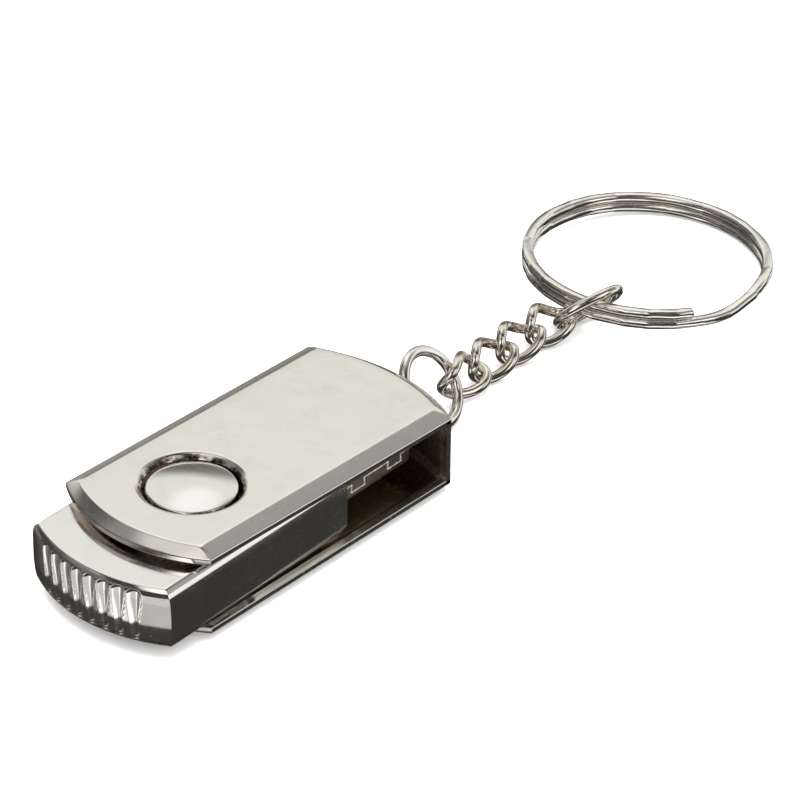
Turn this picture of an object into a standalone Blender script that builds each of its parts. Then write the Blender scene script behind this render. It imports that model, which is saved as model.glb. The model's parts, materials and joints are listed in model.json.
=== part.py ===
"""USB flash drive with a U-shaped swivel cover, a curb chain and a split key ring. Metres, +Z up.

The origin is on the cover's flat underside, which is the surface that the drive lies on. Positions below
are measured from the swivel's axis, and all of it moves over to the origin at the end. The plug and the
chain point towards +X and the ribbed grip towards -X. The drive is shown closed.
"""

import math

import bmesh
import bpy
from mathutils import Matrix, Vector

MM = 0.001

# Swivel cover: two dished plates joined by a curved end wall, all from one sheet.
COVER_HALF_WIDTH = 9.0 * MM
COVER_FRONT_CORNER_X = -6.96 * MM
COVER_FRONT_RISE = 2.93 * MM
COVER_REAR_CORNER_X = 24.97 * MM
COVER_REAR_RISE = 2.35 * MM
SHEET = 0.6 * MM
BEVEL_DROP = 0.76 * MM
BEVEL_INSET = 1.49 * MM
COVER_TOP_AT_REAR = 8.71 * MM
COVER_SPLAY = 0.0233
HOLE_RADIUS = 4.55 * MM
HOLE_MOUTH_RADIUS = 5.07 * MM
TAB_OUTER_X = 30.4 * MM
TAB_HALF_WIDTH = 2.9 * MM
TAB_THICKNESS = 0.7 * MM
TAB_Z = 4.25 * MM
TAB_SLOT_X = (27.85 * MM, 29.7 * MM)
TAB_SLOT_HALF_WIDTH = 1.9 * MM

# Drive body: a deep upper shell closed by a shallow lower shell.
BODY_HALF_WIDTH = 8.38 * MM
BODY_FRONT_CORNER_X = -11.95 * MM
BODY_FRONT_RISE = 2.35 * MM
BODY_REAR_X = 11.62 * MM
BODY_SWING = math.radians(1.46)
BODY_BOTTOM = 1.45 * MM
BODY_SEAM = 1.86 * MM
BODY_LOWER_BEVEL_TOP = 3.6 * MM
BODY_UPPER_BEVEL_BOTTOM = 6.74 * MM
BODY_TOP = 7.6 * MM
SIDE_BEVEL = 0.4 * MM
SHELL_WALL = 0.85 * MM
SHELL_ROOF = 0.7 * MM
GROOVES = 8
GROOVE_PITCH = 1.5 * MM
GROOVE_RADIUS = 0.45 * MM
CAVITY_FRONT_X = -9.6 * MM
BUTTON_RADIUS = 4.25 * MM
BUTTON_RIM_Z = 8.9 * MM
BUTTON_CROWN = 0.6 * MM
JOIN_GAP = 0.05 * MM

# USB type A plug.
PLUG_HALF_WIDTH = 6.0 * MM
PLUG_HEIGHT = 4.5 * MM
PLUG_BOTTOM = 2.27 * MM
PLUG_WALL = 0.32 * MM
PLUG_END_X = 23.1 * MM
PLUG_START_X = 6.2 * MM
PLUG_WINDOW = 2.2 * MM
PLUG_WINDOW_X = 15.4 * MM
PLUG_WINDOW_Y = 2.5 * MM
TONGUE_THICKNESS = 1.84 * MM
CONTACT_THICKNESS = 0.2 * MM
CONTACT_WIDTH = 1.0 * MM
CONTACT_START_X = 5.75 * MM
CONTACTS = ((-3.5, 22.1), (-1.0, 21.1), (1.0, 21.1), (3.5, 22.1))

# Circuit board and what it carries.
BOARD_BOTTOM = 3.55 * MM
BOARD_THICKNESS = 0.8 * MM
BOARD_HALF_WIDTH = 6.7 * MM
BOARD_X = (-9.0 * MM, 9.4 * MM)

# Rings and chain. Positions are in millimetres from the swivel's axis, angles are in degrees.
LANYARD_CENTRE = Vector((32.552, 0.134, 3.616)) * MM
LANYARD_NORMAL = Vector((0.192, -0.781, 0.593))
LANYARD_RADIUS = 3.64 * MM
LANYARD_WIRE = 1.08 * MM
TAB_BAR = Vector((30.05, 0.0, 4.25)) * MM
LINK_WIRE = 1.0 * MM
CURB = {"half_length": 2.694, "half_width": 1.787, "twist": -53.3}
LINKS = (
    {
        **CURB,
        "centre": (37.622, 0.549, 2.448),
        "yaw": 4.78,
        "pitch": -13.73,
        "roll": 67.65,
        "half_length": 3.034,
    },
    {**CURB, "centre": (42.096, 1.016, 2.026), "yaw": 2.55, "pitch": -0.37, "roll": 40.71},
    {**CURB, "centre": (46.407, 1.264, 1.919), "yaw": 1.73, "pitch": -1.82, "roll": 31.92},
    {**CURB, "centre": (50.741, 1.128, 1.911), "yaw": -2.03, "pitch": -3.40, "roll": 33.49},
    {
        "centre": (54.913, -0.433, 2.461),
        "yaw": -22.85,
        "pitch": 15.59,
        "roll": -50.88,
        "half_length": 3.381,
        "half_width": 2.242,
        "twist": 0.0,
    },
)
SPLIT_RING_RADIUS = 11.9 * MM
SPLIT_RING_WIRE = (1.16 * MM, 0.98 * MM)
SPLIT_RING_GAP = 0.08 * MM
SPLIT_RING_TILT = math.radians(3.7)
SPLIT_RING_CENTRE = Vector((66.3, 1.5, 1.84)) * MM
SPLIT_RING_END_ANGLE = math.radians(-87)

# The origin is on the cover's flat underside, this far from the swivel's axis towards the plug.
PIVOT_FROM_ORIGIN = 9.0 * MM


def clear_scene():
    for obj in list(bpy.data.objects):
        bpy.data.objects.remove(obj)


def material(name, colour, roughness, metallic):
    made = bpy.data.materials.new(name)
    made.use_nodes = True
    shader = made.node_tree.nodes["Principled BSDF"]
    shader.inputs["Base Color"].default_value = (*colour, 1.0)
    shader.inputs["Roughness"].default_value = roughness
    shader.inputs["Metallic"].default_value = metallic
    made.diffuse_color = (*colour, 1.0)
    return made


def finished(name, mesh, finish, parent=None, origin=None):
    """A new object with this mesh, placed under its parent, with its own origin at the point given."""
    obj = bpy.data.objects.new(name, mesh)
    if origin is not None:
        mesh.transform(Matrix.Translation(-origin))
        obj.location = origin
    bpy.context.scene.collection.objects.link(obj)
    mesh.materials.append(finish)
    mesh.shade_smooth()
    mesh.set_sharp_from_angle(angle=math.radians(35))
    obj.parent = parent
    return obj


def mesh_from(builder, name):
    bmesh.ops.recalc_face_normals(builder, faces=builder.faces)
    mesh = bpy.data.meshes.new(name)
    builder.to_mesh(mesh)
    builder.free()
    return mesh


def loft(name, rings):
    """A closed solid through rings of points, each with the same number of points, capped at both ends."""
    builder = bmesh.new()
    rows = [[builder.verts.new(point) for point in ring] for ring in rings]
    for lower, upper in zip(rows, rows[1:]):
        for i, corner in enumerate(lower):
            j = (i + 1) % len(lower)
            builder.faces.new((corner, lower[j], upper[j], upper[i]))
    builder.faces.new(rows[0])
    builder.faces.new(rows[-1])
    return mesh_from(builder, name)


def box(name, low, high):
    corners = ((low[0], low[1]), (high[0], low[1]), (high[0], high[1]), (low[0], high[1]))
    return loft(name, [[(x, y, z) for x, y in corners] for z in (low[2], high[2])])


def disc(name, levels, sides=40, centre=(0.0, 0.0)):
    """A turned solid about a vertical axis, from pairs of radius and height."""
    angles = [2 * math.pi * i / sides for i in range(sides)]
    rings = [
        [(centre[0] + r * math.cos(a), centre[1] + r * math.sin(a), z) for a in angles] for r, z in levels
    ]
    return loft(name, rings)


def cut(obj, cutter_mesh, operation="DIFFERENCE"):
    """Cuts the mesh from the object, or joins it, with a Boolean that stays live."""
    tool = bpy.data.objects.new(f"{obj.name}_{operation.lower()}_{len(obj.modifiers)}", cutter_mesh)
    bpy.context.scene.collection.objects.link(tool)
    tool.hide_render = True
    tool.display_type = "WIRE"
    tool.parent = obj.parent
    modifier = obj.modifiers.new(tool.name, "BOOLEAN")
    modifier.operation = operation
    modifier.object = tool


def arc_points(corner_x, rise, half_width, direction, steps, start_y):
    """The bowed end of an outline, from start_y to -start_y. Direction is 1 where it bulges towards +X."""
    radius = (half_width**2 + rise**2) / (2 * rise)
    points = []
    for i in range(steps + 1):
        y = start_y * (1 - 2 * i / steps)
        bulge = math.sqrt(radius**2 - y**2) - (radius - rise)
        points.append((corner_x + direction * bulge, y))
    return points


def cover_outline(inset, steps=14):
    """The cover's plan view, drawn in by the inset at its sides and by part of it at its ends."""
    half_width = COVER_HALF_WIDTH - inset
    end_inset = 0.75 * inset
    front = arc_points(
        COVER_FRONT_CORNER_X + end_inset, COVER_FRONT_RISE, COVER_HALF_WIDTH, -1, steps, half_width
    )
    rear_x = COVER_REAR_CORNER_X - end_inset
    rear = arc_points(rear_x, COVER_REAR_RISE, COVER_HALF_WIDTH, 1, steps, -half_width)
    return front + rear


def top_plate_lift(x):
    """How much higher the top plate stands than at its rear corners, because the plates are splayed."""
    return COVER_SPLAY * (COVER_REAR_CORNER_X - x)


def make_cover(finish):
    rim = cover_outline(0)
    flat = cover_outline(BEVEL_INSET)
    top_levels = (
        (flat, COVER_TOP_AT_REAR - SHEET),
        (rim, COVER_TOP_AT_REAR - BEVEL_DROP - SHEET),
        (rim, COVER_TOP_AT_REAR - BEVEL_DROP),
        (flat, COVER_TOP_AT_REAR),
    )
    top = loft("cover_top", [[(x, y, z + top_plate_lift(x)) for x, y in line] for line, z in top_levels])
    bottom_levels = ((flat, 0), (rim, BEVEL_DROP), (rim, BEVEL_DROP + SHEET), (flat, SHEET))
    bottom = loft("cover_bottom", [[(x, y, z) for x, y in line] for line, z in bottom_levels])
    cover = finished("swivel_cover", bottom, finish)
    cut(cover, end_wall_mesh(), "UNION")
    cut(cover, top, "UNION")
    cut(cover, tab_mesh(), "UNION")
    top_at_pivot = COVER_TOP_AT_REAR + top_plate_lift(0)
    mouth = HOLE_MOUTH_RADIUS - HOLE_RADIUS
    top_hole = (
        (HOLE_RADIUS, top_at_pivot - 2 * SHEET),
        (HOLE_RADIUS, top_at_pivot - mouth),
        (HOLE_MOUTH_RADIUS, top_at_pivot),
        (HOLE_MOUTH_RADIUS, top_at_pivot + SHEET),
    )
    cut(cover, disc("cover_top_hole", top_hole))
    bottom_hole = ((HOLE_RADIUS, -SHEET), (HOLE_RADIUS, 2 * SHEET))
    cut(cover, disc("cover_bottom_hole", bottom_hole))
    slot_low = (TAB_SLOT_X[0], -TAB_SLOT_HALF_WIDTH, TAB_Z - TAB_THICKNESS)
    slot_high = (TAB_SLOT_X[1], TAB_SLOT_HALF_WIDTH, TAB_Z + TAB_THICKNESS)
    cut(cover, box("cover_tab_slot", slot_low, slot_high))
    return cover


def end_wall_mesh():
    """The curved wall between the two plates, just inside their rims."""
    steps = 14
    reach = 0.02 * MM
    outer = arc_points(
        COVER_REAR_CORNER_X - reach, COVER_REAR_RISE, COVER_HALF_WIDTH, 1, steps, COVER_HALF_WIDTH - reach
    )
    inner = [(x - SHEET, y) for x, y in reversed(outer)]
    low = BEVEL_DROP + 0.1 * SHEET
    high = COVER_TOP_AT_REAR - BEVEL_DROP - 0.1 * SHEET
    return loft("cover_end_wall", [[(x, y, z) for x, y in outer + inner] for z in (low, high)])


def tab_mesh():
    """The lug on the end wall that the lanyard ring passes through."""
    low_z = TAB_Z - TAB_THICKNESS / 2
    high_z = TAB_Z + TAB_THICKNESS / 2
    root_x = COVER_REAR_CORNER_X + COVER_REAR_RISE - 0.6 * SHEET
    corner = 0.9 * MM
    plan = (
        (root_x, -TAB_HALF_WIDTH),
        (TAB_OUTER_X - corner, -TAB_HALF_WIDTH),
        (TAB_OUTER_X, -TAB_HALF_WIDTH + corner),
        (TAB_OUTER_X, TAB_HALF_WIDTH - corner),
        (TAB_OUTER_X - corner, TAB_HALF_WIDTH),
        (root_x, TAB_HALF_WIDTH),
    )
    return loft("cover_tab", [[(x, y, z) for x, y in plan] for z in (low_z, high_z)])


def body_outline(z, side_inset, front_inset, rear_inset, steps=16):
    half_width = BODY_HALF_WIDTH - side_inset
    front = arc_points(
        BODY_FRONT_CORNER_X + front_inset, BODY_FRONT_RISE, BODY_HALF_WIDTH, -1, steps, half_width
    )
    rear_x = BODY_REAR_X - rear_inset
    return [(x, y, z) for x, y in front + [(rear_x, -half_width), (rear_x, half_width)]]


def groove_mesh(index):
    """A round-ended flute up the front of the grip."""
    y = (index - (GROOVES - 1) / 2) * GROOVE_PITCH
    radius = (BODY_HALF_WIDTH**2 + BODY_FRONT_RISE**2) / (2 * BODY_FRONT_RISE)
    bulge = math.sqrt(radius**2 - y**2) - (radius - BODY_FRONT_RISE)
    x = BODY_FRONT_CORNER_X - bulge - 0.1 * MM
    top = BODY_UPPER_BEVEL_BOTTOM + 0.1 * MM
    levels = (
        (GROOVE_RADIUS, 0.5 * MM),
        (GROOVE_RADIUS, top - GROOVE_RADIUS),
        (0.7 * GROOVE_RADIUS, top - 0.3 * GROOVE_RADIUS),
        (0.25 * GROOVE_RADIUS, top),
    )
    return disc(f"groove_{index}", levels, sides=10, centre=(x, y))


def make_upper_shell(finish, parent):
    levels = (
        (BODY_SEAM, 0.02 * MM, 0.15 * MM, 0.9 * MM),
        (2.35 * MM, 0.0, 0.1 * MM, 0.0),
        (BODY_LOWER_BEVEL_TOP, 0.0, 0.0, 0.0),
        (BODY_UPPER_BEVEL_BOTTOM, 0.0, 0.0, 0.0),
        (BODY_TOP, SIDE_BEVEL, 0.4 * MM, 0.12 * MM),
    )
    rings = [body_outline(*level) for level in levels]
    shell = finished("upper_shell", loft("upper_shell", rings), finish, parent)
    inner_y = BODY_HALF_WIDTH - SHELL_WALL
    cavity = box(
        "shell_cavity",
        (CAVITY_FRONT_X, -inner_y, 0),
        (BODY_REAR_X - SHELL_WALL, inner_y, BODY_TOP - SHELL_ROOF),
    )
    cut(shell, cavity)
    opening_y = PLUG_HALF_WIDTH + 0.08 * MM
    opening = box(
        "plug_opening",
        (BODY_REAR_X - 2 * SHELL_WALL, -opening_y, 0),
        (BODY_REAR_X + SHELL_WALL, opening_y, PLUG_BOTTOM + PLUG_HEIGHT + 0.08 * MM),
    )
    cut(shell, opening)
    for index in range(GROOVES):
        cut(shell, groove_mesh(index))
    return shell


def make_lower_shell(finish, parent):
    levels = (
        (BODY_BOTTOM, 0.4 * MM, 0.45 * MM, 2.3 * MM),
        (BODY_SEAM - JOIN_GAP, 0.05 * MM, 0.2 * MM, 1.0 * MM),
    )
    rings = [body_outline(*level) for level in levels]
    shell = finished("lower_shell", loft("lower_shell", rings), finish, parent)
    lip_y = BODY_HALF_WIDTH - SHELL_WALL - 0.1 * MM
    lip_front = CAVITY_FRONT_X + 0.1 * MM
    lip_rear = 9.6 * MM
    lip_top = BODY_SEAM + 1.1 * MM
    lip = box("shell_lip", (lip_front, -lip_y, BODY_BOTTOM + 0.1 * MM), (lip_rear, lip_y, lip_top))
    cut(shell, lip, "UNION")
    lip_wall = 0.5 * MM
    inside = box(
        "shell_lip_inside",
        (lip_front + lip_wall, -lip_y + lip_wall, BODY_SEAM - JOIN_GAP),
        (lip_rear + lip_wall, lip_y - lip_wall, lip_top + lip_wall),
    )
    cut(shell, inside)
    return shell


def make_button_top(finish, parent):
    levels = [(BUTTON_RADIUS - 0.3 * MM, BODY_TOP + JOIN_GAP), (BUTTON_RADIUS, BODY_TOP + 0.35 * MM)]
    rings = 6
    for i in range(rings):
        angle = 0.5 * math.pi * i / rings
        levels.append((BUTTON_RADIUS * math.cos(angle), BUTTON_RIM_Z + BUTTON_CROWN * math.sin(angle)))
    return finished("pivot_button_top", disc("pivot_button_top", levels), finish, parent)


def make_button_bottom(finish, parent):
    levels = (
        (BUTTON_RADIUS - 0.7 * MM, 0.1 * MM),
        (BUTTON_RADIUS, 0.35 * MM),
        (BUTTON_RADIUS, BODY_BOTTOM - JOIN_GAP),
    )
    return finished("pivot_button_bottom", disc("pivot_button_bottom", levels), finish, parent)


def rounded_bar(name, half_y, low_z, high_z, corner, low_x, high_x):
    """A bar along X with rounded long edges."""
    section = []
    steps = 3
    for centre_y, centre_z, start in (
        (half_y - corner, high_z - corner, 0),
        (-half_y + corner, high_z - corner, 90),
        (-half_y + corner, low_z + corner, 180),
        (half_y - corner, low_z + corner, 270),
    ):
        for i in range(steps + 1):
            angle = math.radians(start + 90 * i / steps)
            section.append((centre_y + corner * math.cos(angle), centre_z + corner * math.sin(angle)))
    return loft(name, [[(x, y, z) for y, z in section] for x in (low_x, high_x)])


def make_plug(metal, plastic, gold, parent):
    top = PLUG_BOTTOM + PLUG_HEIGHT
    outside = rounded_bar("plug_shell", PLUG_HALF_WIDTH, PLUG_BOTTOM, top, 0.5 * MM, PLUG_START_X, PLUG_END_X)
    shell = finished("plug_shell", outside, metal, parent)
    inside = rounded_bar(
        "plug_shell_inside",
        PLUG_HALF_WIDTH - PLUG_WALL,
        PLUG_BOTTOM + PLUG_WALL,
        top - PLUG_WALL,
        0.25 * MM,
        PLUG_START_X - MM,
        PLUG_END_X + MM,
    )
    cut(shell, inside)
    for side in (-1, 1):
        centre_y = side * PLUG_WINDOW_Y
        low = (PLUG_WINDOW_X, centre_y - PLUG_WINDOW / 2, PLUG_BOTTOM - MM)
        high = (PLUG_WINDOW_X + PLUG_WINDOW, centre_y + PLUG_WINDOW / 2, top + MM)
        cut(shell, box("plug_window", low, high))
    tongue_low = PLUG_BOTTOM + PLUG_WALL + JOIN_GAP
    tongue_top = tongue_low + TONGUE_THICKNESS
    tongue_half = PLUG_HALF_WIDTH - PLUG_WALL - 0.1 * MM
    tongue = box("plug_tongue", (9.6 * MM, -tongue_half, tongue_low), (22.7 * MM, tongue_half, tongue_top))
    tongue = finished("plug_tongue", tongue, plastic, parent)
    block_low = (9.6 * MM, -tongue_half, tongue_top - 0.1 * MM)
    block_high = (12.6 * MM, tongue_half, top - PLUG_WALL - JOIN_GAP)
    cut(tongue, box("tongue_block", block_low, block_high), "UNION")
    contact_low = tongue_top + JOIN_GAP
    for y, _ in CONTACTS:
        slot_half = CONTACT_WIDTH / 2 + JOIN_GAP
        slot_low = (9.0 * MM, y * MM - slot_half, contact_low - JOIN_GAP)
        slot_high = (13.0 * MM, y * MM + slot_half, contact_low + CONTACT_THICKNESS + JOIN_GAP)
        cut(tongue, box("tongue_slot", slot_low, slot_high))
    for number, (y, end_x) in enumerate(CONTACTS, start=1):
        low = (CONTACT_START_X, y * MM - CONTACT_WIDTH / 2, contact_low)
        high = (end_x * MM, y * MM + CONTACT_WIDTH / 2, contact_low + CONTACT_THICKNESS)
        name = f"plug_contact_{number}"
        finished(name, box(name, low, high), gold, parent)


def make_board(finishes, parent):
    """The circuit board, its chips and its small components, in the order they are soldered."""
    board_top = BOARD_BOTTOM + BOARD_THICKNESS
    low = (BOARD_X[0], -BOARD_HALF_WIDTH, BOARD_BOTTOM)
    board = finished(
        "circuit_board",
        box("circuit_board", low, (BOARD_X[1], BOARD_HALF_WIDTH, board_top)),
        finishes["board"],
        parent,
    )
    clearance = 0.1 * MM
    cut(
        board,
        box(
            "board_plug_notch",
            (PLUG_START_X - clearance, -PLUG_HALF_WIDTH - clearance, 0),
            (BOARD_X[1] + MM, PLUG_HALF_WIDTH + clearance, BODY_TOP),
        ),
    )
    above = board_top + JOIN_GAP
    below = BOARD_BOTTOM - JOIN_GAP
    pieces = (
        ("flash_memory_chip", (-8.2, -5.9), (3.8, 5.9), -1.0, "chip"),
        ("controller_chip", (-3.4, -3.4), (3.4, 3.4), 0.9, "chip"),
        ("crystal", (-8.4, 2.2), (-4.4, 4.6), 1.1, "steel"),
        ("capacitor_1", (4.0, 4.4), (5.6, 5.2), 0.8, "capacitor"),
        ("capacitor_2", (4.0, 2.9), (5.6, 3.7), 0.8, "capacitor"),
        ("capacitor_3", (-8.2, -0.4), (-6.6, 0.4), 0.8, "capacitor"),
        ("capacitor_4", (-8.2, -1.9), (-6.6, -1.1), 0.8, "capacitor"),
        ("resistor_1", (4.0, -3.6), (5.6, -2.8), 0.45, "resistor"),
        ("resistor_2", (4.0, -5.1), (5.6, -4.3), 0.45, "resistor"),
        ("status_led", (-8.2, -5.6), (-6.6, -4.8), 0.7, "led"),
    )
    for name, low_xy, high_xy, height, finish in pieces:
        low_z, high_z = (above, above + height * MM) if height > 0 else (below + height * MM, below)
        low = (low_xy[0] * MM, low_xy[1] * MM, low_z)
        high = (high_xy[0] * MM, high_xy[1] * MM, high_z)
        finished(name, box(name, low, high), finishes[finish], parent)


def make_carrier(finish, parent):
    """The plastic cradle that holds the circuit board in the shells."""
    outer_y = BODY_HALF_WIDTH - SHELL_WALL - 0.12 * MM
    low = (CAVITY_FRONT_X + 0.12 * MM, -outer_y, BODY_SEAM + 1.2 * MM)
    high = (9.6 * MM, outer_y, BODY_TOP - SHELL_ROOF - 0.1 * MM)
    carrier = finished("board_carrier", box("board_carrier", low, high), finish, parent)
    clearance = 0.08 * MM
    inner_y = BOARD_HALF_WIDTH + clearance
    inside = box(
        "carrier_inside",
        (BOARD_X[0] - clearance, -inner_y, 0),
        (BODY_REAR_X, inner_y, BODY_TOP),
    )
    cut(carrier, inside)
    return carrier


def tube(name, path, radius, sides, centre):
    """A closed loop of round wire along the path, which runs round the centre."""
    count = len(path)
    builder = bmesh.new()
    rows = []
    for i, point in enumerate(path):
        along = (path[(i + 1) % count] - path[i - 1]).normalized()
        outward = point - centre
        outward = (outward - along * outward.dot(along)).normalized()
        across = along.cross(outward)
        row = []
        for k in range(sides):
            angle = 2 * math.pi * (k + 0.5) / sides
            spoke = outward * math.cos(angle) + across * math.sin(angle)
            row.append(builder.verts.new(point + spoke * radius))
        rows.append(row)
    for i, row in enumerate(rows):
        following = rows[(i + 1) % count]
        for k in range(sides):
            m = (k + 1) % sides
            builder.faces.new((row[k], row[m], following[m], following[k]))
    return mesh_from(builder, name)


def direction(yaw, pitch):
    return Vector((math.cos(yaw) * math.cos(pitch), math.sin(yaw) * math.cos(pitch), math.sin(pitch)))


def link_path(centre, yaw, pitch, roll, half_length, half_width, twist, points=32):
    """The centre line of an oval link. Its ends are turned against each other by twice the twist."""
    along = direction(yaw, pitch)
    level = Vector((0, 0, 1)).cross(along).normalized()
    up = along.cross(level)
    side = level * math.cos(roll) + up * math.sin(roll)
    normal = along.cross(side)
    squareness = 2 / 2.4
    path = []
    for i in range(points):
        angle = 2 * math.pi * i / points
        c, s = math.cos(angle), math.sin(angle)
        lengthwise = half_length * math.copysign(abs(c) ** squareness, c)
        widthwise = half_width * math.copysign(abs(s) ** squareness, s)
        turn = twist * lengthwise / half_length
        spoke = side * math.cos(turn) + normal * math.sin(turn)
        path.append(centre + along * lengthwise + spoke * widthwise)
    return path


def ring_path(centre, normal, radius, points):
    """A circle's points, starting from the one that is furthest towards +X."""
    normal = normal.normalized()
    first = (Vector((1, 0, 0)) - normal * normal.x).normalized()
    second = normal.cross(first)
    angles = [2 * math.pi * i / points for i in range(points)]
    return [centre + (first * math.cos(a) + second * math.sin(a)) * radius for a in angles]


def hang_point(parent_path, child_path):
    """The point of the parent's wire that is nearest to the child's wire, where the child hangs."""
    return min(parent_path, key=lambda point: min((point - other).length for other in child_path)).copy()


def make_lanyard_ring(finish):
    path = ring_path(LANYARD_CENTRE, LANYARD_NORMAL, LANYARD_RADIUS, 40)
    half = LANYARD_WIRE / 2
    finished("lanyard_ring", tube("lanyard_ring", path, half, 10, LANYARD_CENTRE), finish, origin=TAB_BAR)
    return path


def make_links(finish, held_by):
    """Each link in turn, hung on the one before it. It gives back the last link's centre line."""
    for number, link in enumerate(LINKS, start=1):
        centre = Vector(link["centre"]) * MM
        angles = [math.radians(link[key]) for key in ("yaw", "pitch", "roll")]
        sizes = (link["half_length"] * MM, link["half_width"] * MM, math.radians(link["twist"]))
        path = link_path(centre, *angles, *sizes)
        name = f"chain_link_{number}"
        mesh = tube(name, path, LINK_WIRE / 2, 8, centre)
        finished(name, mesh, finish, origin=hang_point(held_by, path))
        held_by = path
    return held_by


def make_split_ring(finish, held_by):
    """Two turns of wire. Beside the ends, the wire steps from the lower turn to the upper one."""
    tilt = Matrix.Rotation(SPLIT_RING_TILT, 4, "Y")
    half_radial = SPLIT_RING_WIRE[0] / 2
    half_height = SPLIT_RING_WIRE[1] / 2
    step = half_height + SPLIT_RING_GAP / 2
    corner = 0.28 * MM
    section = (
        (half_radial, half_height - corner),
        (half_radial - corner, half_height),
        (corner - half_radial, half_height),
        (-half_radial, half_height - corner),
        (-half_radial, corner - half_height),
        (corner - half_radial, -half_height),
        (half_radial - corner, -half_height),
        (half_radial, corner - half_height),
    )
    first_turn, last_turn, pieces = 0.09, 1.91, 92
    rings = []
    for i in range(pieces + 1):
        turn = first_turn + (last_turn - first_turn) * i / pieces
        blend = min(max((turn - 0.94) / 0.12, 0), 1)
        height = step * (2 * blend * blend * (3 - 2 * blend) - 1)
        angle = SPLIT_RING_END_ANGLE + 2 * math.pi * turn
        outward = Vector((math.cos(angle), math.sin(angle), 0))
        points = [outward * (SPLIT_RING_RADIUS + r) + Vector((0, 0, height + z)) for r, z in section]
        rings.append([SPLIT_RING_CENTRE + tilt @ point for point in points])
    circle = ring_path(SPLIT_RING_CENTRE, tilt.to_3x3() @ Vector((0, 0, 1)), SPLIT_RING_RADIUS, 96)
    return finished("split_ring", loft("split_ring", rings), finish, origin=hang_point(held_by, circle))


def main():
    clear_scene()
    cover_nickel = material("cover_nickel", (0.80, 0.79, 0.76), 0.16, 1.0)
    body_chrome = material("body_chrome", (0.70, 0.69, 0.67), 0.14, 1.0)
    tray_chrome = material("tray_chrome", (0.66, 0.65, 0.63), 0.2, 1.0)
    button_chrome = material("button_chrome", (0.84, 0.83, 0.80), 0.1, 1.0)
    plug_steel = material("plug_steel", (0.52, 0.50, 0.47), 0.32, 1.0)
    ring_nickel = material("ring_nickel", (0.72, 0.70, 0.67), 0.18, 1.0)
    chain_nickel = material("chain_nickel", (0.66, 0.63, 0.58), 0.22, 1.0)
    plug_plastic = material("plug_plastic", (0.03, 0.03, 0.035), 0.5, 0.0)
    contact_gold = material("contact_gold", (0.83, 0.62, 0.28), 0.25, 1.0)
    carrier_plastic = material("carrier_plastic", (0.12, 0.12, 0.13), 0.55, 0.0)
    board_finishes = {
        "board": material("board_green", (0.03, 0.17, 0.07), 0.45, 0.0),
        "chip": material("chip_black", (0.02, 0.02, 0.022), 0.5, 0.0),
        "steel": material("crystal_steel", (0.7, 0.7, 0.7), 0.25, 1.0),
        "capacitor": material("capacitor_tan", (0.45, 0.32, 0.2), 0.45, 0.0),
        "resistor": material("resistor_black", (0.03, 0.03, 0.03), 0.4, 0.0),
        "led": material("led_white", (0.85, 0.85, 0.8), 0.3, 0.0),
    }
    drive = bpy.data.objects.new("drive_pivot", None)
    bpy.context.scene.collection.objects.link(drive)
    drive.rotation_euler.z = BODY_SWING
    make_cover(cover_nickel)
    make_upper_shell(body_chrome, drive)
    make_lower_shell(tray_chrome, drive)
    make_button_top(button_chrome, drive)
    make_button_bottom(button_chrome, drive)
    make_plug(plug_steel, plug_plastic, contact_gold, drive)
    make_board(board_finishes, drive)
    make_carrier(carrier_plastic, drive)
    lanyard_path = make_lanyard_ring(ring_nickel)
    last_link_path = make_links(chain_nickel, lanyard_path)
    make_split_ring(ring_nickel, last_link_path)
    for obj in bpy.data.objects:
        if obj.parent is None:
            obj.location.x -= PIVOT_FROM_ORIGIN


main()
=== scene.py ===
"""The looks of the swivel USB flash drive: its visible pieces, materials, light and camera.

Lengths are in millimetres, measured from the swivel's axis as the drive lies closed, and each mesh is
moved into the frame, in metres, when it is made.
"""

import json
import math

import bmesh
import bpy
from mathutils import Matrix, Vector


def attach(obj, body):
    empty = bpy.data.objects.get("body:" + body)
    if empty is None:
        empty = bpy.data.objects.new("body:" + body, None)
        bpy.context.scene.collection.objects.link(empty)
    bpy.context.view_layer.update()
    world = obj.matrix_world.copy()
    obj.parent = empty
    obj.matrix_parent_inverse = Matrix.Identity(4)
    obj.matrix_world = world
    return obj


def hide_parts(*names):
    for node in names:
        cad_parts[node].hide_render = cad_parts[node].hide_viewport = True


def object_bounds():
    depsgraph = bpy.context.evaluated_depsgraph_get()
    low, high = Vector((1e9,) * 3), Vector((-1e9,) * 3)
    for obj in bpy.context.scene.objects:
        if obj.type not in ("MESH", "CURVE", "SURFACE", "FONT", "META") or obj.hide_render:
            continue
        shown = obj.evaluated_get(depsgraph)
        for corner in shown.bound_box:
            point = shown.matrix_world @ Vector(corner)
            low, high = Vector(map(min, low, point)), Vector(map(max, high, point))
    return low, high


MM = 0.001
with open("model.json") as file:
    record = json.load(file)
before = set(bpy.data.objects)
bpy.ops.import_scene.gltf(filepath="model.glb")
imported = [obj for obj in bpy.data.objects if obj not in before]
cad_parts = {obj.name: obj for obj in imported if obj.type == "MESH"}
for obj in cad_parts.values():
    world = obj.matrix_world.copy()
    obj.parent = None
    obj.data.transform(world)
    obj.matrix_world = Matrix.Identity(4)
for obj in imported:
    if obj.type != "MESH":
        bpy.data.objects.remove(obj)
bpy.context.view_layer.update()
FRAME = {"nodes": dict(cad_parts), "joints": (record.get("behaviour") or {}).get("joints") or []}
SWIVEL = Vector(next(joint["pos_m"] for joint in FRAME["joints"] if joint["name"] == "drive_swivel"))
BODY_SWING = math.radians(1.46)

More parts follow.
